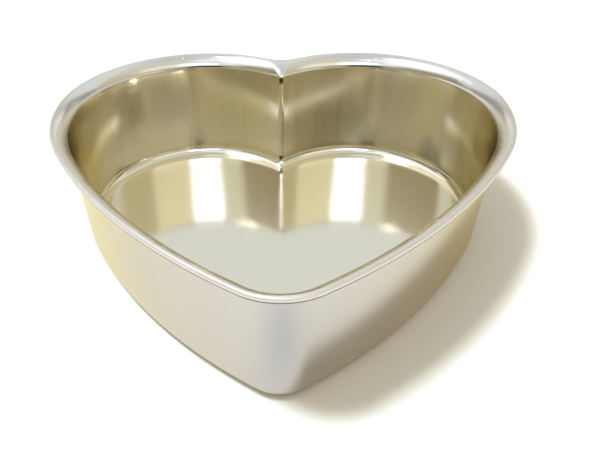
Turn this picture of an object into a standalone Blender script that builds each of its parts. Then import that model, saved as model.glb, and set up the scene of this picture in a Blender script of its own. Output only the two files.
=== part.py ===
"""Heart cake tin: one drawn aluminium pan with a curled edge, and the wire inside the curl.

Run with: blender --background --python part.py
All values are in metres and degrees. The tin stands on Z = 0, its tip points to -Y and
its cleft to +Y, and the origin is under the middle of its overall width and length.
"""

import math

import bmesh
import bpy

# Sheet and overall height
SHEET_THICKNESS = 0.0005
TIN_HEIGHT = 0.0515

# Heart outline, measured on the inner face of the wall where it meets the rim
LOBE_CENTRE_X = 0.0355
LOBE_RADIUS = 0.0524
SIDE_RADIUS = 0.0773
SIDE_START_DEG = 5.0
SIDE_END_DEG = -28.2
FLANK_RADIUS = 0.2081
TIP_RADIUS = 0.0165
CLEFT_RADIUS = 0.0018

# Wall, floor and rim profile
WALL_DRAFT_DEG = 3.0
FLOOR_FILLET_RADIUS = 0.0047
SHOULDER_RADIUS = 0.0040
FLARE_RADIUS = 0.0090
FLARE_FOOT_SLOPE_DEG = 60.0
FLARE_TOP_SLOPE_DEG = 22.5
CURL_SWEEP_DEG = 270.0
CLEFT_EASING = 2.2

# Wire inside the curl
WIRE_DIAMETER = 0.0008
WIRE_CLEARANCE = 0.0003

# Mesh steps along one half of the outline, and along the profile
CLEFT_STEPS = 4
LOBE_STEPS = 18
SIDE_STEPS = 5
FLANK_STEPS = 7
TIP_STEPS = 5
FILLET_STEPS = 5
WALL_STEPS = 2
SHOULDER_STEPS = 3
FLARE_STEPS = 5
CURL_STEPS = 12
MERGE_DISTANCE = 0.00001

HALF_SHEET = SHEET_THICKNESS / 2
CURL_RADIUS = WIRE_DIAMETER / 2 + WIRE_CLEARANCE + HALF_SHEET
COLLECTION_NAME = "heart_cake_tin"


def clear_scene():
    for old in list(bpy.data.objects):
        bpy.data.objects.remove(old, do_unlink=True)


def make_collection():
    collection = bpy.data.collections.new(COLLECTION_NAME)
    bpy.context.scene.collection.children.link(collection)
    return collection


def make_material(name, colour, roughness, metallic):
    material = bpy.data.materials.new(name)
    material.use_nodes = True
    shader = material.node_tree.nodes["Principled BSDF"]
    shader.inputs["Base Color"].default_value = (*colour, 1.0)
    shader.inputs["Roughness"].default_value = roughness
    shader.inputs["Metallic"].default_value = metallic
    return material


def moved(point, distance, angle_deg):
    """The point that lies a distance away in the given direction."""
    angle = math.radians(angle_deg)
    return (point[0] + distance * math.cos(angle), point[1] + distance * math.sin(angle))


def arc(centre, radius, start_deg, end_deg, steps):
    """Points on an arc about a centre, both ends included."""
    span = end_deg - start_deg
    return [moved(centre, radius, start_deg + span * step / steps) for step in range(steps + 1)]


def half_outline(offset, cleft_radius):
    """Right half of the heart, from the cleft to the tip, grown outwards by offset."""
    lobe_centre = (LOBE_CENTRE_X, 0.0)
    lobe_radius = LOBE_RADIUS + offset
    cleft_y = math.sqrt((lobe_radius + cleft_radius) ** 2 - LOBE_CENTRE_X ** 2)
    cleft_end_deg = math.degrees(math.atan2(-cleft_y, LOBE_CENTRE_X))
    points = arc((0.0, cleft_y), cleft_radius, -90.0, cleft_end_deg, CLEFT_STEPS)

    lobe_start_deg = cleft_end_deg + 180.0
    points += arc(lobe_centre, lobe_radius, lobe_start_deg, SIDE_START_DEG, LOBE_STEPS)[1:]

    # Each next arc shares a tangent with the one before it
    side_centre = moved(lobe_centre, LOBE_RADIUS - SIDE_RADIUS, SIDE_START_DEG)
    side_radius = SIDE_RADIUS + offset
    points += arc(side_centre, side_radius, SIDE_START_DEG, SIDE_END_DEG, SIDE_STEPS)[1:]

    flank_centre = moved(side_centre, SIDE_RADIUS - FLANK_RADIUS, SIDE_END_DEG)
    reach = math.sqrt((FLANK_RADIUS - TIP_RADIUS) ** 2 - flank_centre[0] ** 2)
    flank_end_deg = math.degrees(math.atan2(-reach, -flank_centre[0]))
    flank_radius = FLANK_RADIUS + offset
    points += arc(flank_centre, flank_radius, SIDE_END_DEG, flank_end_deg, FLANK_STEPS)[1:]

    tip_centre = (0.0, flank_centre[1] - reach)
    points += arc(tip_centre, TIP_RADIUS + offset, flank_end_deg, -90.0, TIP_STEPS)[1:]
    return points


def rim_centres():
    """Middles of the shoulder, flare and curl arcs, each as an offset and a height."""
    shoulder_radius = SHOULDER_RADIUS - HALF_SHEET
    flare_radius = FLARE_RADIUS - HALF_SHEET
    curl_height = TIN_HEIGHT - HALF_SHEET - CURL_RADIUS
    flare_drop = (flare_radius - CURL_RADIUS) * math.cos(math.radians(FLARE_TOP_SLOPE_DEG))
    shoulder_rise = (flare_radius - shoulder_radius) * math.cos(math.radians(FLARE_FOOT_SLOPE_DEG))
    shoulder_offset = HALF_SHEET + shoulder_radius * math.cos(math.radians(WALL_DRAFT_DEG))
    shoulder = (shoulder_offset, curl_height - flare_drop + shoulder_rise)

    # Each next arc shares a tangent with the one before it
    flare = moved(shoulder, shoulder_radius - flare_radius, 90.0 + FLARE_FOOT_SLOPE_DEG)
    curl = moved(flare, flare_radius - CURL_RADIUS, 90.0 + FLARE_TOP_SLOPE_DEG)
    return shoulder, flare, curl


def eased_cleft(offset):
    """The cleft opens out as the rim flares away from the wall."""
    return CLEFT_RADIUS + CLEFT_EASING * (offset - HALF_SHEET)


def tin_profile():
    """Sheet's middle line, from the floor's edge to the end of the curl.

    Each entry is the offset from the wall's inner face at the rim, the height, and the
    radius that the cleft has there.
    """
    draft = math.radians(WALL_DRAFT_DEG)
    wall_deg = 180.0 - WALL_DRAFT_DEG
    foot_deg = 90.0 + FLARE_FOOT_SLOPE_DEG
    top_deg = 90.0 + FLARE_TOP_SLOPE_DEG
    shoulder_centre, flare_centre, curl_centre = rim_centres()
    wall_top = moved(shoulder_centre, SHOULDER_RADIUS - HALF_SHEET, wall_deg)

    fillet_radius = FLOOR_FILLET_RADIUS + HALF_SHEET
    fillet_height = HALF_SHEET + fillet_radius
    foot_height = fillet_height - fillet_radius * math.sin(draft)
    foot_offset = wall_top[0] - (wall_top[1] - foot_height) * math.tan(draft)
    fillet_centre = (foot_offset - fillet_radius * math.cos(draft), fillet_height)

    profile = []
    for offset, height in arc(fillet_centre, fillet_radius, -90.0, -WALL_DRAFT_DEG, FILLET_STEPS):
        profile.append((offset, height, CLEFT_RADIUS + foot_offset - offset))
    for step in range(1, WALL_STEPS):
        share = step / WALL_STEPS
        offset = foot_offset + (wall_top[0] - foot_offset) * share
        height = foot_height + (wall_top[1] - foot_height) * share
        profile.append((offset, height, CLEFT_RADIUS))
    shoulder = arc(shoulder_centre, SHOULDER_RADIUS - HALF_SHEET, wall_deg, foot_deg, SHOULDER_STEPS)
    flare = arc(flare_centre, FLARE_RADIUS - HALF_SHEET, foot_deg, top_deg, FLARE_STEPS)
    curl = arc(curl_centre, CURL_RADIUS, top_deg, top_deg - CURL_SWEEP_DEG, CURL_STEPS)
    for offset, height in shoulder + flare[1:] + curl[1:]:
        profile.append((offset, height, eased_cleft(offset)))
    return profile


def outline_middle_y():
    """Middle of the tin's overall length, which the origin lies under."""
    offset = rim_centres()[2][0]
    brim = half_outline(offset, eased_cleft(offset))
    return (max(y for x, y in brim) + min(y for x, y in brim)) / 2


def build_pan(collection, material):
    """Half of the sheet as an open surface, mirrored and given its thickness."""
    middle_y = outline_middle_y()
    shell = bmesh.new()
    rings = []
    for offset, height, cleft_radius in tin_profile():
        ring = []
        for x, y in half_outline(offset, cleft_radius):
            ring.append(shell.verts.new((x, y - middle_y, height)))
        ring[0].co.x = 0.0
        ring[-1].co.x = 0.0
        rings.append(ring)
    shell.faces.new(list(reversed(rings[0])))
    for lower, upper in zip(rings, rings[1:]):
        for index in range(len(lower) - 1):
            shell.faces.new((lower[index], lower[index + 1], upper[index + 1], upper[index]))
    mesh = bpy.data.meshes.new("drawn_pan")
    shell.to_mesh(mesh)
    shell.free()
    mesh.materials.append(material)
    mesh.shade_smooth()
    mesh.set_sharp_from_angle(angle=math.radians(40.0))

    pan = bpy.data.objects.new("drawn_pan", mesh)
    collection.objects.link(pan)
    mirror = pan.modifiers.new("Mirror", "MIRROR")
    mirror.use_clip = True
    mirror.merge_threshold = MERGE_DISTANCE
    solidify = pan.modifiers.new("Solidify", "SOLIDIFY")
    solidify.thickness = SHEET_THICKNESS
    solidify.offset = 0.0
    solidify.use_even_offset = True
    solidify.use_quality_normals = True
    return pan


def build_rim_wire(collection, material):
    """Closed loop of round wire along the middle of the curl."""
    middle_y = outline_middle_y()
    offset, height = rim_centres()[2]
    right_half = half_outline(offset, eased_cleft(offset))
    left_half = [(-x, y) for x, y in reversed(right_half[1:-1])]
    path = right_half + left_half

    curve = bpy.data.curves.new("rim_wire", "CURVE")
    curve.dimensions = "3D"
    curve.bevel_depth = WIRE_DIAMETER / 2
    curve.bevel_resolution = 1
    curve.materials.append(material)
    spline = curve.splines.new("POLY")
    spline.points.add(len(path) - 1)
    for point, (x, y) in zip(spline.points, path):
        point.co = (x, y - middle_y, height, 1.0)
    spline.use_cyclic_u = True
    wire = bpy.data.objects.new("rim_wire", curve)
    collection.objects.link(wire)
    return wire


def main():
    clear_scene()
    collection = make_collection()
    aluminium = make_material("anodised_aluminium", (0.78, 0.74, 0.66), 0.18, 1.0)
    steel = make_material("galvanised_wire", (0.55, 0.56, 0.57), 0.35, 1.0)
    build_pan(collection, aluminium)
    build_rim_wire(collection, steel)


main()
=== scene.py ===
import math

import bpy
from mathutils import Matrix, Vector


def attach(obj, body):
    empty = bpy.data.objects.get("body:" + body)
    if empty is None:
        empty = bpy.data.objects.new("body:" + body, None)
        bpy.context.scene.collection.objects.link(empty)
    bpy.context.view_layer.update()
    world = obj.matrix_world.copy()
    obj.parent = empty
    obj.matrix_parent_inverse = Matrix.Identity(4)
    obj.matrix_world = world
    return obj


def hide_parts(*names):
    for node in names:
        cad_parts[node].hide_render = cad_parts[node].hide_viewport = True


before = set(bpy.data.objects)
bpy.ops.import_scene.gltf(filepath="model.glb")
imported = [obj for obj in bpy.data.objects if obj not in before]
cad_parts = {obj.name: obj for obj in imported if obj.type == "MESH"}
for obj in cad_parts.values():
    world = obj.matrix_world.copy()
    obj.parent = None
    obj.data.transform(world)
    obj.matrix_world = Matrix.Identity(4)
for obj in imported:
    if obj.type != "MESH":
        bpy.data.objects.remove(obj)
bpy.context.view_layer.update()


# Drawn pan
# The body of the tin: one aluminium sheet, 0.5 mm thick, drawn over a heart-shaped punch.
# Floor, fillet, wall, flared rim and curled edge are all the same sheet. The punch leaves
# the inside bright, and the die leaves the outside satin.

SHEET_THICKNESS = 0.0005
TIN_HEIGHT = 0.0515
LOBE_CENTRE_X = 0.0355
LOBE_RADIUS = 0.0524
SIDE_RADIUS = 0.0773
SIDE_START = math.radians(5.0)
SIDE_END = math.radians(-28.2)
FLANK_RADIUS = 0.2081
TIP_RADIUS = 0.0165
CLEFT_RADIUS = 0.0018
CLEFT_EASING = 2.2
WALL_DRAFT = math.radians(3.0)
FLOOR_FILLET_RADIUS = 0.0047
SHOULDER_RADIUS = 0.0040
FLARE_RADIUS = 0.0090
FLARE_FOOT_SLOPE = math.radians(60.0)
FLARE_TOP_SLOPE = math.radians(22.5)
WIRE_DIAMETER = 0.0008
WIRE_CLEARANCE = 0.0003
CURL_RADIUS = WIRE_DIAMETER / 2 + WIRE_CLEARANCE + SHEET_THICKNESS / 2
CURL_SWEEP = math.radians(270.0)

HEART_SIZES = {
    "Lobe Centre X": LOBE_CENTRE_X,
    "Lobe Radius": LOBE_RADIUS,
    "Side Radius": SIDE_RADIUS,
    "Side Start": SIDE_START,
    "Side End": SIDE_END,
    "Flank Radius": FLANK_RADIUS,
    "Tip Radius": TIP_RADIUS,
}
SECTION_SIZES = {
    "Sheet Thickness": SHEET_THICKNESS,
    "Tin Height": TIN_HEIGHT,
    "Wall Draft": WALL_DRAFT,
    "Floor Fillet Radius": FLOOR_FILLET_RADIUS,
    "Shoulder Radius": SHOULDER_RADIUS,
    "Flare Radius": FLARE_RADIUS,
    "Flare Foot Slope": FLARE_FOOT_SLOPE,
    "Flare Top Slope": FLARE_TOP_SLOPE,
    "Curl Radius": CURL_RADIUS,
    "Curl Sweep": CURL_SWEEP,
    "Cleft Radius": CLEFT_RADIUS,
    "Cleft Easing": CLEFT_EASING,
}
FORMING_MARKS = {
    "Cleft Wrinkle": 0.0011,
    "Wall Wave": 0.00010,
    "Floor Crown": 0.00012,
}

# How fine the forming marks are. The wave is set inwards, so that the tin keeps its size.
LUMPS_UP_CLEFT = 150.0
CLEFT_SEED = 3.7
CLEFT_FADE = 0.35
WAVES_ROUND_WALL = 2.6
WAVES_UP_WALL = 26.0
WAVE_INWARDS = 1.7

# Points within the weld distance become one, and edges over the crease angle stay sharp. The
# lean is a slope that the outside's shading is given, and not its mesh.
WELD_DISTANCE = 0.000002
CREASE_ANGLE = math.radians(50.0)
LEAN_SLOPE = -0.052

# Mesh steps: along one half of the heart, and up the sheet from the middle of the floor
CLEFT_STEPS = 12
LOBE_STEPS = 90
SIDE_STEPS = 30
FLANK_STEPS = 60
TIP_STEPS = 28
HALF_STEPS = CLEFT_STEPS + LOBE_STEPS + SIDE_STEPS + FLANK_STEPS + TIP_STEPS
FLOOR_STEPS = 8
FILLET_STEPS = 12
WALL_STEPS = 16
SHOULDER_STEPS = 8
FLARE_STEPS = 16
CURL_STEPS = 24
STRETCHES = (FLOOR_STEPS, FILLET_STEPS, WALL_STEPS, SHOULDER_STEPS, FLARE_STEPS, CURL_STEPS)
SHEET_STEPS = sum(STRETCHES)

# Metres up the sheet, from the middle of the floor, where one stretch turns into the next
FLOOR_TO_FILLET = (0.0500, 0.0540)
FILLET_TO_WALL = (0.0595, 0.0650)
WALL_TO_SHOULDER = (0.0985, 0.1008)
SHOULDER_TO_RIM = (0.1008, 0.1026)
RIM_TO_BEAD = (0.1083, 0.1089)
BEAD_TO_UNDERSIDE = (0.1100, 0.1104)

# Where marks lie, in metres: up the sheet, along the heart from the cleft, and front to back
SHOULDER_BAND = ((0.0985, 0.1003), (0.1018, 0.1032))
UPPER_FOLD = ((0.0978, 0.0990), (0.1004, 0.1014))
LOWER_FOLD = ((0.0580, 0.0592), (0.0602, 0.0612))
FOLD_EDGE = (0.0005, 0.0013)
SIDES_BEGIN = (0.0760, 0.0880)
DULL_TO_BRIGHT = (-0.010, 0.050)


class Measure:
    """A length, angle or count on a node's socket, for working out sizes in a node tree."""

    def __init__(self, tree, socket):
        self.tree = tree
        self.socket = socket

    def work(self, operation, *others):
        node = self.tree.nodes.new("ShaderNodeMath")
        node.operation = operation
        for slot, value in zip(node.inputs, (self, *others)):
            if isinstance(value, Measure):
                self.tree.links.new(value.socket, slot)
            else:
                slot.default_value = value
        return Measure(self.tree, node.outputs[0])

    def __add__(self, other):
        return self.work("ADD", other)

    def __sub__(self, other):
        return self.work("SUBTRACT", other)

    def __mul__(self, other):
        return self.work("MULTIPLY", other)

    def __truediv__(self, other):
        return self.work("DIVIDE", other)

    def __neg__(self):
        return self.work("MULTIPLY", -1.0)

    def __rsub__(self, other):
        return -self + other

    __radd__ = __add__
    __rmul__ = __mul__

    def sin(self):
        return self.work("SINE")

    def cos(self):
        return self.work("COSINE")

    def share(self, start, steps):
        """How far a stretch that begins at start and lasts for steps has been run, from 0 to 1."""
        part = (self - start) / steps
        part.socket.node.use_clamp = True
        return part


def new_tree(name, sizes):
    """An empty tree with one named input for each size, and those inputs as measures."""
    tree = bpy.data.node_groups.new(name, "GeometryNodeTree")
    for label, value in sizes.items():
        socket = tree.interface.new_socket(label, in_out="INPUT", socket_type="NodeSocketFloat")
        socket.default_value = value
    entry = tree.nodes.new("NodeGroupInput")
    return tree, {label: Measure(tree, entry.outputs[label]) for label in sizes}


def number(tree, value):
    """The same value everywhere, as a measure."""
    node = tree.nodes.new("ShaderNodeValue")
    node.outputs[0].default_value = value
    return Measure(tree, node.outputs[0])


def heart_line_group():
    """The heart outline as a chain of tangent arcs, from the cleft to the tip on one side."""
    stations = {"Station": 0.0, "Offset": 0.0, "Cleft": CLEFT_RADIUS}
    tree, size = new_tree("heart_line", {**stations, **HEART_SIZES})
    station, offset, cleft = size["Station"], size["Offset"], size["Cleft"]
    lobe_x = size["Lobe Centre X"]
    half_turn = math.pi
    downward = number(tree, -half_turn / 2)

    lobe_radius = size["Lobe Radius"] + offset
    cleft_reach = lobe_radius + cleft
    cleft_y = (cleft_reach * cleft_reach - lobe_x * lobe_x).work("SQRT")
    cleft_end = (-cleft_y).work("ARCTAN2", lobe_x)

    side_run = size["Lobe Radius"] - size["Side Radius"]
    flank_run = size["Side Radius"] - size["Flank Radius"]
    flank_x = lobe_x + side_run * size["Side Start"].cos() + flank_run * size["Side End"].cos()
    tip_run = size["Flank Radius"] - size["Tip Radius"]
    tip_rise = (tip_run * tip_run - flank_x * flank_x).work("SQRT")
    flank_end = (-tip_rise).work("ARCTAN2", -flank_x)

    arcs = (
        (CLEFT_STEPS, cleft, downward, cleft_end),
        (LOBE_STEPS, lobe_radius, cleft_end + half_turn, size["Side Start"]),
        (SIDE_STEPS, size["Side Radius"] + offset, size["Side Start"], size["Side End"]),
        (FLANK_STEPS, size["Flank Radius"] + offset, size["Side End"], flank_end),
        (TIP_STEPS, size["Tip Radius"] + offset, flank_end, downward),
    )
    x = number(tree, 0.0)
    y = cleft_y - cleft
    length = number(tree, 0.0)
    begun = 0
    for steps, radius, start, end in arcs:
        run = station.share(begun, steps)
        turn = (end - start) * run
        x = x + radius * ((start + turn).cos() - start.cos())
        y = y + radius * ((start + turn).sin() - start.sin())
        length = length + radius * turn.work("ABSOLUTE")
        begun += steps

    leave = tree.nodes.new("NodeGroupOutput")
    for label, value in (("X", x), ("Y", y), ("Length", length)):
        tree.interface.new_socket(label, in_out="OUTPUT", socket_type="NodeSocketFloat")
        tree.links.new(value.socket, leave.inputs[label])


def follow_heart(tree, size, station, offset, cleft):
    """Adds the heart outline to a tree and returns its x, its y and the length run."""
    line = tree.nodes.new("GeometryNodeGroup")
    line.node_tree = bpy.data.node_groups["heart_line"]
    for label in HEART_SIZES:
        tree.links.new(size[label].socket, line.inputs[label])
    for label, value in (("Station", station), ("Offset", offset), ("Cleft", cleft)):
        tree.links.new(value.socket, line.inputs[label])
    return [Measure(tree, line.outputs[label]) for label in ("X", "Y", "Length")]


def point_of(tree, x, y, z):
    """The place with these coordinates, each a measure or a plain number."""
    joined = tree.nodes.new("ShaderNodeCombineXYZ")
    for slot, value in zip(joined.inputs, (x, y, z)):
        if isinstance(value, Measure):
            tree.links.new(value.socket, slot)
        else:
            slot.default_value = value
    return joined.outputs[0]


def of_points(tree, socket, data_type):
    """The value that each grid point has, for use on faces and corners too."""
    node = tree.nodes.new("GeometryNodeFieldOnDomain")
    node.domain = "POINT"
    node.data_type = data_type
    tree.links.new(socket, node.inputs[0])
    return node.outputs[0]


def set_midway(tree, geometry):
    """Sets a shape midway over the origin, front to back."""
    around = tree.nodes.new("GeometryNodeBoundBox")
    tree.links.new(geometry, around.inputs["Geometry"])
    ends = []
    for label in ("Min", "Max"):
        corner = tree.nodes.new("ShaderNodeSeparateXYZ")
        tree.links.new(around.outputs[label], corner.inputs[0])
        ends.append(Measure(tree, corner.outputs[1]))
    centred = tree.nodes.new("GeometryNodeSetPosition")
    tree.links.new(geometry, centred.inputs["Geometry"])
    back = point_of(tree, 0.0, (ends[0] + ends[1]) * -0.5, 0.0)
    tree.links.new(back, centred.inputs["Offset"])
    return centred.outputs[0]


def give_out(tree, geometry, finishes):
    """Realises a tree's shape and sets each material, on the faces named or else on all."""
    solid = tree.nodes.new("GeometryNodeRealizeInstances")
    tree.links.new(geometry, solid.inputs[0])
    shape = solid.outputs[0]
    for material, faces in finishes:
        dressed = tree.nodes.new("GeometryNodeSetMaterial")
        dressed.inputs["Material"].default_value = material
        tree.links.new(shape, dressed.inputs["Geometry"])
        if faces is not None:
            tree.links.new(faces, dressed.inputs["Selection"])
        shape = dressed.outputs[0]
    leave = tree.nodes.new("NodeGroupOutput")
    tree.interface.new_socket("Geometry", in_out="OUTPUT", socket_type="NodeSocketGeometry")
    tree.links.new(shape, leave.inputs[0])


def press_pan_tree(bright_inside, satin_outside):
    """The drawn sheet: a grid that runs up the inner face, round the curl and back down outside."""
    tree, size = new_tree("press_pan", {**HEART_SIZES, **SECTION_SIZES, **FORMING_MARKS})
    rows = 2 * SHEET_STEPS + 2
    columns = 2 * HALF_STEPS + 1
    blank = tree.nodes.new("GeometryNodeMeshGrid")
    blank.inputs["Vertices X"].default_value = columns
    blank.inputs["Vertices Y"].default_value = rows
    index = Measure(tree, tree.nodes.new("GeometryNodeInputIndex").outputs[0])

    column = (index / rows).work("FLOOR")
    row = index - column * rows
    from_cleft = column - HALF_STEPS
    station = from_cleft.work("ABSOLUTE")
    hand = from_cleft.work("SIGN")
    outside = row.work("GREATER_THAN", SHEET_STEPS + 0.5)
    step = row + outside * (2 * SHEET_STEPS + 1.0 - row * 2.0)

    # Sheet's middle line, from the floor's middle to the end of the curl
    half = size["Sheet Thickness"] * 0.5
    draft = size["Wall Draft"]
    foot = size["Flare Foot Slope"] + math.pi / 2
    top = size["Flare Top Slope"] + math.pi / 2
    fillet_radius = size["Floor Fillet Radius"] + half
    shoulder_radius = size["Shoulder Radius"] - half
    flare_radius = size["Flare Radius"] - half
    curl_radius = size["Curl Radius"]
    wall_rise = (
        size["Tin Height"] - half * 2.0 - curl_radius
        - (flare_radius - curl_radius) * top.sin()
        + (flare_radius - shoulder_radius) * foot.sin()
        + shoulder_radius * draft.sin()
        - fillet_radius * (1.0 - draft.sin())
    )
    foot_offset = half - wall_rise * draft.work("TANGENT")
    floor_offset = foot_offset - fillet_radius * draft.cos()

    runs = []
    begun = 0
    for steps in STRETCHES:
        runs.append(step.share(begun, steps))
        begun += steps
    floor_run, fillet_run, wall_run, shoulder_run, flare_run, curl_run = runs

    wall_facing = math.pi - draft
    fillet_facing = (wall_facing - math.pi / 2) * fillet_run + math.pi / 2
    shoulder_facing = wall_facing + (foot - wall_facing) * shoulder_run
    flare_facing = foot + (top - foot) * flare_run
    curl_facing = top - size["Curl Sweep"] * curl_run
    facing = fillet_facing + (shoulder_facing - wall_facing) + (flare_facing - foot)
    facing = facing + (curl_facing - top)

    offset = (
        floor_offset - fillet_radius * fillet_facing.cos()
        + wall_rise * draft.work("TANGENT") * wall_run
        + shoulder_radius * (shoulder_facing.cos() - wall_facing.cos())
        + flare_radius * (flare_facing.cos() - foot.cos())
        + curl_radius * (curl_facing.cos() - top.cos())
    )
    height = (
        half - fillet_radius * (fillet_facing.sin() - 1.0)
        + wall_rise * wall_run
        + shoulder_radius * (shoulder_facing.sin() - wall_facing.sin())
        + flare_radius * (flare_facing.sin() - foot.sin())
        + curl_radius * (curl_facing.sin() - top.sin())
    )

    # The cleft is tight on the wall, and opens out below it and above it
    below = (foot_offset - offset).work("MAXIMUM", 0.0)
    above = (offset - half).work("MAXIMUM", 0.0)
    cleft = size["Cleft Radius"] + below + size["Cleft Easing"] * above

    # The sheet creeps unevenly over the tight cleft, and the free wall waves a little
    creep = tree.nodes.new("ShaderNodeTexNoise")
    creep.noise_dimensions = "1D"
    creep.inputs["Scale"].default_value = 1.0
    creep.inputs["Detail"].default_value = 1.0
    tree.links.new((height * LUMPS_UP_CLEFT + CLEFT_SEED).socket, creep.inputs["W"])
    on_wall = wall_run * (1.0 - wall_run) * 4.0
    lump = (Measure(tree, creep.outputs[0]) - 0.5) * 2.0
    cleft = cleft + size["Cleft Wrinkle"] * lump * on_wall.work("POWER", CLEFT_FADE)

    wave = tree.nodes.new("ShaderNodeTexNoise")
    wave.inputs["Scale"].default_value = 1.0
    wave.inputs["Detail"].default_value = 0.0
    round_the_rim = from_cleft * (math.pi / HALF_STEPS)
    wave_east = round_the_rim.cos() * WAVES_ROUND_WALL
    wave_north = round_the_rim.sin() * WAVES_ROUND_WALL
    wave_place = point_of(tree, wave_east, wave_north, height * WAVES_UP_WALL)
    tree.links.new(wave_place, wave.inputs["Vector"])
    ripple = Measure(tree, wave.outputs[0]) * 2.0 - WAVE_INWARDS
    rise = (height / size["Tin Height"]).work("MINIMUM", 1.0)
    offset = offset + size["Wall Wave"] * ripple * rise * fillet_run

    # Half the sheet's thickness to each side of the middle line
    thick = half * (1.0 - outside * 2.0)
    reach = thick * facing.cos()
    x, y, length = follow_heart(tree, size, station, offset + reach, cleft - reach)
    crown = size["Floor Crown"] * (1.0 - floor_run * floor_run)
    x = x * floor_run * hand
    y = y * floor_run
    place = point_of(tree, x, y, height + thick * facing.sin() + crown)

    shaped = tree.nodes.new("GeometryNodeSetPosition")
    tree.links.new(blank.outputs["Mesh"], shaped.inputs["Geometry"])
    tree.links.new(place, shaped.inputs["Position"])

    # Sheet coordinates in metres: along the heart from the cleft, and up the sheet, below
    # zero on the outside
    sheet_run = (
        size["Lobe Radius"] * floor_run + fillet_radius * (fillet_facing - math.pi / 2)
        + wall_rise * wall_run + shoulder_radius * (wall_facing - shoulder_facing)
        + flare_radius * (foot - flare_facing) + curl_radius * (top - curl_facing)
    )
    sheet_run = sheet_run * (1.0 - outside * 2.0)
    mapped = tree.nodes.new("GeometryNodeStoreNamedAttribute")
    mapped.data_type = "FLOAT2"
    mapped.domain = "CORNER"
    mapped.inputs["Name"].default_value = "sheet_map"
    tree.links.new(shaped.outputs[0], mapped.inputs["Geometry"])
    sheet_place = point_of(tree, length * hand, sheet_run, 0.0)
    tree.links.new(of_points(tree, sheet_place, "FLOAT_VECTOR"), mapped.inputs["Value"])

    # Which face of the sheet each grid face is on, kept for the materials
    faced = tree.nodes.new("GeometryNodeStoreNamedAttribute")
    faced.data_type = "BOOLEAN"
    faced.domain = "FACE"
    faced.inputs["Name"].default_value = "outer_face"
    tree.links.new(mapped.outputs[0], faced.inputs["Geometry"])
    tree.links.new(of_points(tree, outside.socket, "FLOAT"), faced.inputs["Value"])

    closed = tree.nodes.new("GeometryNodeMergeByDistance")
    closed.inputs["Distance"].default_value = WELD_DISTANCE
    tree.links.new(faced.outputs[0], closed.inputs["Geometry"])

    outer_face = tree.nodes.new("GeometryNodeInputNamedAttribute")
    outer_face.data_type = "BOOLEAN"
    outer_face.inputs["Name"].default_value = "outer_face"
    finishes = ((bright_inside, None), (satin_outside, outer_face.outputs[0]))
    give_out(tree, set_midway(tree, closed.outputs[0]), finishes)
    return tree


def plain_mesh(name, tree):
    """Runs a tree once and keeps what it makes as an ordinary mesh object."""
    holder = bpy.data.objects.new(name + "_rule", bpy.data.meshes.new(name + "_rule"))
    bpy.context.scene.collection.objects.link(holder)
    modifier = holder.modifiers.new("Rule", "NODES")
    modifier.node_group = tree
    depsgraph = bpy.context.evaluated_depsgraph_get()
    mesh = bpy.data.meshes.new_from_object(
        holder.evaluated_get(depsgraph), preserve_all_data_layers=True, depsgraph=depsgraph
    )
    mesh.name = name
    while mesh.materials and mesh.materials[0] is None:
        mesh.materials.pop(index=0)
    bpy.data.objects.remove(holder, do_unlink=True)
    piece = bpy.data.objects.new(name, mesh)
    bpy.context.scene.collection.objects.link(piece)
    return piece


def between(value, low, high):
    """0 below low and 1 above high, with a soft step between."""
    part = (value - low) / (high - low)
    part.socket.node.use_clamp = True
    return part * part * (3.0 - part * 2.0)


def on_stretch(value, start, end):
    """1 from start to end and 0 outside, where each of the two is a soft step."""
    return between(value, *start) * (1.0 - between(value, *end))


def blended(tree, share, first, second):
    """One colour that turns into another as share goes from 0 to 1."""
    mix = tree.nodes.new("ShaderNodeMix")
    mix.data_type = "RGBA"
    tree.links.new(share.socket, mix.inputs["Factor"])
    for slot, colour in ((mix.inputs[6], first), (mix.inputs[7], second)):
        if isinstance(colour, tuple):
            slot.default_value = (*colour, 1.0)
        else:
            tree.links.new(colour, slot)
    return mix.outputs[2]


def mottle(tree, x, y, z, detail=2.0):
    """A smooth random value from 0 to 1, about one patch to each unit of x, y and z."""
    noise = tree.nodes.new("ShaderNodeTexNoise")
    noise.inputs["Scale"].default_value = 1.0
    noise.inputs["Detail"].default_value = detail
    tree.links.new(point_of(tree, x, y, z), noise.inputs["Vector"])
    return Measure(tree, noise.outputs[0])


def scored(tree, x, y, angle_deg, length, width, rarity, seed):
    """Fine straight marks that run at one angle: 1 on a mark and 0 beside it."""
    angle = math.radians(angle_deg)
    run = x * math.cos(angle) + y * math.sin(angle)
    cross = y * math.cos(angle) - x * math.sin(angle)
    line = mottle(tree, run * (1.0 / length), cross * (1.0 / width), seed, 0.0)
    soft_edge = 0.04
    return between(line, rarity, rarity + soft_edge)


def metal_finish(name, grazing_tint):
    """A bare metal shader to build on, with the tint it takes at a grazing angle."""
    material = bpy.data.materials.new(name)
    material.use_nodes = True
    shader = material.node_tree.nodes["Principled BSDF"]
    shader.inputs["Metallic"].default_value = 1.0
    shader.inputs["Specular Tint"].default_value = (*grazing_tint, 1.0)
    return material, material.node_tree, shader


def sheet_places(tree):
    """Where a point lies on the sheet (along the heart, up the sheet) and in the tin."""
    sheet_map = tree.nodes.new("ShaderNodeAttribute")
    sheet_map.attribute_name = "sheet_map"
    in_tin = tree.nodes.new("ShaderNodeTexCoord")
    places = []
    for socket in (sheet_map.outputs["Vector"], in_tin.outputs["Object"]):
        parts = tree.nodes.new("ShaderNodeSeparateXYZ")
        tree.links.new(socket, parts.inputs[0])
        places += [Measure(tree, part) for part in parts.outputs]
    along, up, _, x, y, z = places
    return along, up, x, y, z


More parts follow.
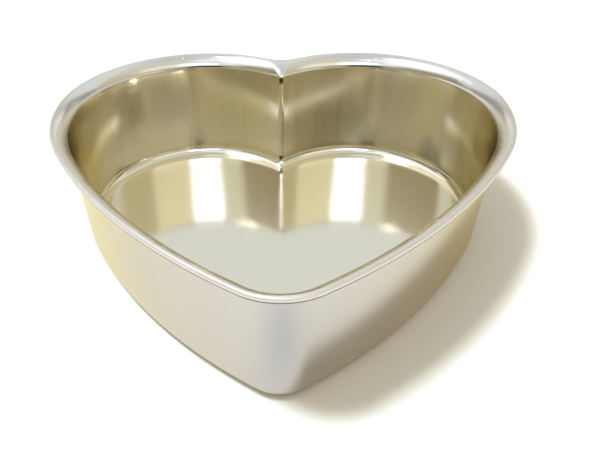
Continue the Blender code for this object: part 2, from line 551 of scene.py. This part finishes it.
def press_bump(tree, shader, height):
    """Turns a height, in metres over the sheet's face, into the shader's bump."""
    bump = tree.nodes.new("ShaderNodeBump")
    bump.inputs["Distance"].default_value = 1.0
    tree.links.new(height.socket, bump.inputs["Height"])
    tree.links.new(bump.outputs[0], shader.inputs["Normal"])


def bright_inside_finish():
    """The punch side: bright, with draw lines up the wall, knife marks on the floor and a
    rim that is dulled and nicked by stacking."""
    material, tree, shader = metal_finish("bright_inside", (0.93, 0.86, 0.62))
    along, up, x, y, z = sheet_places(tree)
    on_floor = 1.0 - between(up, *FLOOR_TO_FILLET)
    on_wall = on_stretch(up, FILLET_TO_WALL, WALL_TO_SHOULDER)
    on_rim = between(up, *SHOULDER_TO_RIM)
    on_bead = between(up, *RIM_TO_BEAD)
    under_curl = between(up, *BEAD_TO_UNDERSIDE)

    # The shoulder is rougher away from the cleft, and the rim is duller towards the tip
    on_shoulder = on_stretch(up, *SHOULDER_BAND)
    on_shoulder = on_shoulder * between(along.work("ABSOLUTE"), *SIDES_BEGIN)
    dulled = 1.0 - between(y, *DULL_TO_BRIGHT)

    # Uneven brightness and fine grain, in patches to the metre
    cloud = mottle(tree, x * 34.0, y * 34.0, z * 34.0)
    peel = mottle(tree, x * 800.0, y * 800.0, z * 800.0, 3.0)
    draw_line = mottle(tree, along * 2300.0, up * 34.0, 1.3)
    soft_band = mottle(tree, along * 260.0, up * 14.0, 7.1, 1.0)

    # Single marks, each with its angle, length, width, rarity and seed
    knife = scored(tree, x, y, 31.0, 0.030, 0.00030, 0.76, 2.0)
    knife = knife.work("MAXIMUM", scored(tree, x, y, -54.0, 0.022, 0.00026, 0.77, 5.0))
    knife = knife.work("MAXIMUM", scored(tree, x, y, 84.0, 0.016, 0.00030, 0.77, 9.0)) * on_floor
    nick = scored(tree, along, up, 78.0, 0.0032, 0.00035, 0.74, 3.0)
    nick = nick * on_rim * between(mottle(tree, along * 28.0, 0.0, 4.0), 0.46, 0.58)
    burnish = mottle(tree, along * 60.0, up * 5200.0, 6.0) * on_bead

    # Painted shade: the cleft's colour is darkened almost to black where it is pinched, at the
    # shoulder and at the fillet
    at_cleft = 1.0 - between(along.work("ABSOLUTE"), *FOLD_EDGE)
    fold_shade = on_stretch(up, *UPPER_FOLD)
    fold_shade = fold_shade.work("MAXIMUM", on_stretch(up, *LOWER_FOLD))
    fold_shade = fold_shade * at_cleft

    colour = blended(tree, cloud, (0.895, 0.855, 0.735), (0.870, 0.835, 0.725))
    colour = blended(tree, on_wall * 0.6, colour, (0.835, 0.800, 0.690))
    rubbed = (on_rim * 0.8 + burnish * 0.3).work("MINIMUM", 1.0)
    colour = blended(tree, rubbed, colour, (0.86, 0.84, 0.82))
    # Painted shade: the sheet's face under the curl is darkened where the curl shades it
    colour = blended(tree, under_curl * 0.9, colour, (0.22, 0.20, 0.17))
    # Painted shade in the cleft's folds, nearly black
    colour = blended(tree, fold_shade * 0.92, colour, (0.05, 0.04, 0.03))
    tree.links.new(colour, shader.inputs["Base Color"])

    blur = (
        0.055 + cloud * 0.05 + on_floor * 0.035
        + (0.03 + draw_line * 0.06 + soft_band * 0.06) * on_wall
        + on_shoulder * 0.12 + on_rim * (0.09 + dulled * 0.09) + on_bead * 0.24
        + burnish * 0.06 + knife * 0.12 + nick * 0.20 + under_curl * 0.25
    )
    tree.links.new(blur.socket, shader.inputs["Roughness"])
    press_bump(tree, shader, (
        peel * 0.0000009 + (draw_line * 0.0000010 + soft_band * 0.0000040) * on_wall
        + burnish * 0.0000014 - knife * 0.0000020 - nick * 0.0000260
    ))
    return material


def satin_outside_finish():
    """The die side: satin and greyer, with faint vertical drawing streaks and handling marks.
    The lean turns the shading up by 3 degrees, so that the wall mirrors the edge of the
    table's shadow lower down."""
    material, tree, shader = metal_finish("satin_outside", (1.00, 0.93, 0.64))
    along, up, x, y, z = sheet_places(tree)
    cloud = mottle(tree, x * 42.0, y * 42.0, z * 30.0, 3.0)
    smear = mottle(tree, along * 120.0, up * 70.0, 2.2, 3.0)
    peel = mottle(tree, x * 1100.0, y * 1100.0, z * 1100.0, 3.0)
    streak = mottle(tree, along * 1500.0, up * 26.0, 5.4, 3.0)
    scuff = scored(tree, along, up, 17.0, 0.020, 0.00028, 0.77, 3.0)
    scuff = scuff.work("MAXIMUM", scored(tree, along, up, -38.0, 0.014, 0.00026, 0.78, 8.0))

    colour = blended(tree, cloud, (0.585, 0.570, 0.560), (0.540, 0.535, 0.540))
    colour = blended(tree, scuff * 0.25, colour, (0.70, 0.68, 0.65))
    tree.links.new(colour, shader.inputs["Base Color"])
    blur = 0.12 + cloud * 0.04 + smear * 0.07 + streak * 0.03 + scuff * 0.06
    tree.links.new(blur.socket, shader.inputs["Roughness"])
    lean = z * LEAN_SLOPE
    press_bump(tree, shader, lean + peel * 0.0000012 + streak * 0.0000006 - scuff * 0.0000008)
    return material


heart_line_group()
pan = plain_mesh("drawn_sheet", press_pan_tree(bright_inside_finish(), satin_outside_finish()))
pan.data.shade_smooth()
pan.data.set_sharp_from_angle(angle=CREASE_ANGLE)
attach(pan, "root")
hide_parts("drawn_pan")


# Rim wire
# A ring of 0.8 mm galvanised steel wire that stiffens the edge. The sheet's edge is curled
# over it, so only a thin line of it shows, through the slit under the curl.

WIRE_SIDES = 12
CRYSTALS_TO_THE_METRE = 900.0
FROST_TO_THE_METRE = 2600.0


def bend_wire_tree(finish):
    """A heart-shaped ring of round wire along the middle of the curl."""
    sizes = {"Wire Diameter": WIRE_DIAMETER, **HEART_SIZES, **SECTION_SIZES}
    tree, size = new_tree("bend_wire", sizes)
    half = size["Sheet Thickness"] * 0.5
    shoulder_radius = size["Shoulder Radius"] - half
    shoulder_offset = half + shoulder_radius * size["Wall Draft"].cos()
    flare_radius = size["Flare Radius"] - half
    offset = shoulder_offset + (flare_radius - shoulder_radius) * size["Flare Foot Slope"].sin()
    offset = offset - (flare_radius - size["Curl Radius"]) * size["Flare Top Slope"].sin()
    height = size["Tin Height"] - half - size["Curl Radius"]
    cleft = size["Cleft Radius"] + size["Cleft Easing"] * (offset - half)

    bends = tree.nodes.new("GeometryNodeMeshLine")
    bends.inputs["Count"].default_value = 2 * HALF_STEPS
    index = Measure(tree, tree.nodes.new("GeometryNodeInputIndex").outputs[0])
    from_cleft = index - HALF_STEPS
    station = from_cleft.work("ABSOLUTE")
    x, y, _ = follow_heart(tree, size, station, offset, cleft)
    hand = from_cleft.work("SIGN")
    placed = tree.nodes.new("GeometryNodeSetPosition")
    tree.links.new(bends.outputs[0], placed.inputs["Geometry"])
    tree.links.new(point_of(tree, x * hand, y, height), placed.inputs["Position"])

    path = tree.nodes.new("GeometryNodeMeshToCurve")
    tree.links.new(set_midway(tree, placed.outputs[0]), path.inputs[0])
    ring = tree.nodes.new("GeometryNodeSetSplineCyclic")
    ring.inputs["Cyclic"].default_value = True
    tree.links.new(path.outputs[0], ring.inputs["Geometry"])
    section = tree.nodes.new("GeometryNodeCurvePrimitiveCircle")
    section.inputs["Resolution"].default_value = WIRE_SIDES
    tree.links.new((size["Wire Diameter"] * 0.5).socket, section.inputs["Radius"])
    drawn = tree.nodes.new("GeometryNodeCurveToMesh")
    tree.links.new(ring.outputs[0], drawn.inputs["Curve"])
    tree.links.new(section.outputs[0], drawn.inputs["Profile Curve"])
    give_out(tree, drawn.outputs[0], ((finish, None),))
    return tree


def zinc_finish():
    """Hot-dipped zinc: small frosted crystals, each with its own grey."""
    material, tree, shader = metal_finish("galvanised_zinc", (0.95, 0.95, 0.95))
    place = tree.nodes.new("ShaderNodeTexCoord")
    crystals = tree.nodes.new("ShaderNodeTexVoronoi")
    crystals.inputs["Scale"].default_value = CRYSTALS_TO_THE_METRE
    tree.links.new(place.outputs["Object"], crystals.inputs["Vector"])
    parts = tree.nodes.new("ShaderNodeSeparateColor")
    tree.links.new(crystals.outputs["Color"], parts.inputs[0])
    crystal = Measure(tree, parts.outputs[0])
    frost = tree.nodes.new("ShaderNodeTexNoise")
    frost.inputs["Scale"].default_value = FROST_TO_THE_METRE
    tree.links.new(place.outputs["Object"], frost.inputs["Vector"])
    frosting = Measure(tree, frost.outputs[0])
    colour = blended(tree, crystal, (0.50, 0.51, 0.53), (0.66, 0.67, 0.68))
    tree.links.new(colour, shader.inputs["Base Color"])
    tree.links.new((0.30 + crystal * 0.12 + frosting * 0.10).socket, shader.inputs["Roughness"])
    press_bump(tree, shader, frosting * 0.0000060 + crystal * 0.0000030)
    return material


wire = plain_mesh("edge_wire", bend_wire_tree(zinc_finish()))
wire.data.shade_smooth()
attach(wire, "root")
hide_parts("rim_wire")


# Table and backdrop
# White card under the tin, which isn't part of the object. It has one white seen straight,
# one seen in the metal, with a painted shadow by the tin's tip, and one for the light that it
# throws back.
# The backdrop is the room's own white.

TABLE_REACH = 3.0
# A painted shadow on the card, seen only in the metal: its middle and its soft edge, in metres
SHADE_EAST, SHADE_NORTH = 0.004, -0.118
SHADE_EDGE = (-0.010, 0.060)
THROWN_BACK = (0.76, 0.70, 0.58)
SEEN_STRAIGHT = (0.88, 0.81, 0.665)
MIRRORED_IN_PAINTED_SHADOW = (0.66, 0.60, 0.50)
MIRRORED = (0.91, 0.80, 0.63)

card = bpy.data.materials.new("white_card")
card.use_nodes = True
card_tree = card.node_tree
card_shader = card_tree.nodes["Principled BSDF"]
card_shader.inputs["Roughness"].default_value = 0.8
card_shader.inputs["Specular IOR Level"].default_value = 0.0
ray = card_tree.nodes.new("ShaderNodeLightPath")
straight = Measure(card_tree, ray.outputs["Is Camera Ray"])
in_metal = Measure(card_tree, ray.outputs["Is Glossy Ray"])
card_colour = blended(card_tree, straight, THROWN_BACK, SEEN_STRAIGHT)
on_table = card_tree.nodes.new("ShaderNodeTexCoord")
card_place = card_tree.nodes.new("ShaderNodeSeparateXYZ")
card_tree.links.new(on_table.outputs["Object"], card_place.inputs[0])
east = Measure(card_tree, card_place.outputs[0]) - SHADE_EAST
north = Measure(card_tree, card_place.outputs[1]) - SHADE_NORTH
from_shade = (east * east + north * north).work("SQRT")
mirrored = blended(card_tree, between(from_shade, *SHADE_EDGE), MIRRORED_IN_PAINTED_SHADOW, MIRRORED)
card_colour = blended(card_tree, in_metal, card_colour, mirrored)
card_tree.links.new(card_colour, card_shader.inputs["Base Color"])
table_mesh = bpy.data.meshes.new("table")
signs = ((-1, -1), (1, -1), (1, 1), (-1, 1))
corners = [(TABLE_REACH * x, TABLE_REACH * y, 0.0) for x, y in signs]
table_mesh.from_pydata(corners, [], [(0, 1, 2, 3)])
table_mesh.materials.append(card)
table = bpy.data.objects.new("table", table_mesh)
bpy.context.scene.collection.objects.link(table)


# Studio light
# A softbox high on the left throws the shadow. The room round the table is what the metal
# mirrors: pale overhead, brown low down on the camera's side, with a bright panel over the
# camera and the softbox's own bright patch. It is white where it is seen straight.

world = bpy.data.worlds.new("studio")
bpy.context.scene.world = world
world.use_nodes = True
room = world.node_tree
seen = room.nodes.new("ShaderNodeTexCoord")
split = room.nodes.new("ShaderNodeSeparateXYZ")
room.links.new(seen.outputs["Generated"], split.inputs[0])
east, north, height = (Measure(room, socket) for socket in split.outputs)
turn = east.work("ARCTAN2", -north) * (180.0 / math.pi)
climb = height.work("ARCSINE") * (180.0 / math.pi)

ROOM = (
    # Middle turn, half width, middle climb, half height and softness in degrees, and colour.
    # Later ones lie over earlier ones.
    (0.0, 400.0, 95.0, 27.0, 8.0, (0.62, 0.64, 0.66)),  # overhead
    (-66.0, 72.0, 56.0, 14.0, 6.0, (1.10, 1.14, 1.22)),  # high on the left
    (66.0, 50.0, 54.0, 15.0, 8.0, (0.70, 0.67, 0.56)),  # high on the right
    (-5.0, 21.0, 53.0, 5.0, 3.0, (0.56, 0.60, 0.60)),  # high over the camera
    (-18.0, 56.0, 0.0, 24.0, 6.0, (0.38, 0.35, 0.25)),  # low on the camera's side
    (-110.0, 32.0, 4.0, 12.0, 5.0, (0.95, 0.97, 1.00)),  # low on the left
    (0.0, 400.0, 23.5, 6.0, 4.0, (0.43, 0.42, 0.36)),  # ring all round
    (180.0, 60.0, 20.5, 5.8, 4.0, (0.33, 0.32, 0.30)),  # band behind the tin
    (178.0, 15.0, 19.8, 3.8, 2.0, (1.10, 1.07, 1.09)),  # bright patch in that band
    (147.0, 7.0, 19.9, 1.6, 0.9, (0.70, 0.69, 0.70)),  # small patch in that band
    (-73.0, 36.0, 33.0, 9.0, 4.5, (0.38, 0.33, 0.22)),  # halfway up on the left
    (88.0, 26.0, 36.0, 8.0, 8.0, (0.60, 0.56, 0.39)),  # halfway up on the right
    (40.0, 28.0, 41.0, 9.0, 4.0, (0.96, 0.94, 0.73)),  # right of the camera
    (66.0, 44.0, 24.0, 5.0, 4.0, (0.53, 0.51, 0.41)),  # ring on the right
    (-60.0, 44.0, 24.0, 5.0, 4.0, (0.34, 0.31, 0.23)),  # ring on the left
    (-88.0, 18.0, 24.0, 5.0, 4.0, (0.20, 0.19, 0.15)),  # darkest part of the ring
    (-26.0, 14.0, 38.0, 6.0, 6.0, (0.82, 0.84, 0.74)),  # left of the camera
    (4.0, 18.0, 41.0, 7.0, 3.0, (2.20, 2.30, 3.00)),  # bright panel over the camera
    (-4.0, 17.0, 8.0, 14.5, 3.0, (0.03, 0.03, 0.02)),  # black low under the panel
    (-80.0, 12.0, 70.0, 5.0, 2.5, (34.0, 34.0, 34.0)),  # softbox
)
LOW_SKY, HIGH_SKY = (0.68, 0.66, 0.62), (0.75, 0.79, 0.80)
SKY_CLIMB = (8.0, 26.0)
sky = blended(room, between(climb, *SKY_CLIMB), LOW_SKY, HIGH_SKY)
for turn_middle, half_width, climb_middle, half_height, softness, colour in ROOM:
    aside = (turn - turn_middle).work("WRAP", 180.0, -180.0).work("ABSOLUTE")
    above = (climb - climb_middle).work("ABSOLUTE")
    share = 1.0 - between(aside, half_width - softness, half_width + softness)
    share = share * (1.0 - between(above, half_height - softness, half_height + softness))
    sky = blended(room, share, sky, colour)
ray = room.nodes.new("ShaderNodeLightPath")
sky = blended(room, Measure(room, ray.outputs["Is Camera Ray"]), sky, (1.0, 1.0, 1.0))
room.links.new(sky, room.nodes["Background"].inputs["Color"])

KEY_TURN = math.radians(-80.2)
KEY_CLIMB = math.radians(70.7)
KEY_DISTANCE = 2.0
softbox_data = bpy.data.lights.new("key_softbox", "AREA")
softbox_data.shape = "DISK"
softbox_data.size = 0.32
softbox_data.energy = 33.5
softbox_data.color = (0.52, 0.70, 1.0)
softbox = bpy.data.objects.new("key_softbox", softbox_data)
towards = Vector((
    math.sin(KEY_TURN) * math.cos(KEY_CLIMB),
    -math.cos(KEY_TURN) * math.cos(KEY_CLIMB),
    math.sin(KEY_CLIMB),
))
softbox.location = towards * KEY_DISTANCE
softbox.visible_glossy = False
softbox.rotation_mode = "QUATERNION"
softbox.rotation_quaternion = towards.to_track_quat("Z", "Y")
bpy.context.scene.collection.objects.link(softbox)


# Camera
# Close in front of the tin's tip and looking down into it, as the photograph was taken. Its
# place, lens, shift and roll come from the fit to the photograph's edges.

camera_data = bpy.data.cameras.new("camera")
camera_data.lens = 38.14
camera_data.shift_x = 0.0572
camera_data.shift_y = 0.0250
camera_data.clip_start = 0.01
camera = bpy.data.objects.new("camera", camera_data)
bpy.context.scene.collection.objects.link(camera)
AIM = Vector((-0.00440, -0.06622, 0.0515))
STAND = Vector((0.00021, -0.21725, 0.16421))
ROLL = math.radians(-0.893)
look = (AIM - STAND).normalized()
right = look.cross(Vector((0.0, 0.0, 1.0))).normalized()
up = right.cross(look)
turned_right = right * math.cos(ROLL) + up * math.sin(ROLL)
turned_up = up * math.cos(ROLL) - right * math.sin(ROLL)
camera.rotation_mode = "QUATERNION"
camera.rotation_quaternion = Matrix((turned_right, turned_up, -look)).transposed().to_quaternion()
camera.location = STAND
bpy.context.scene.camera = camera
bpy.context.scene.view_settings.view_transform = "Standard"
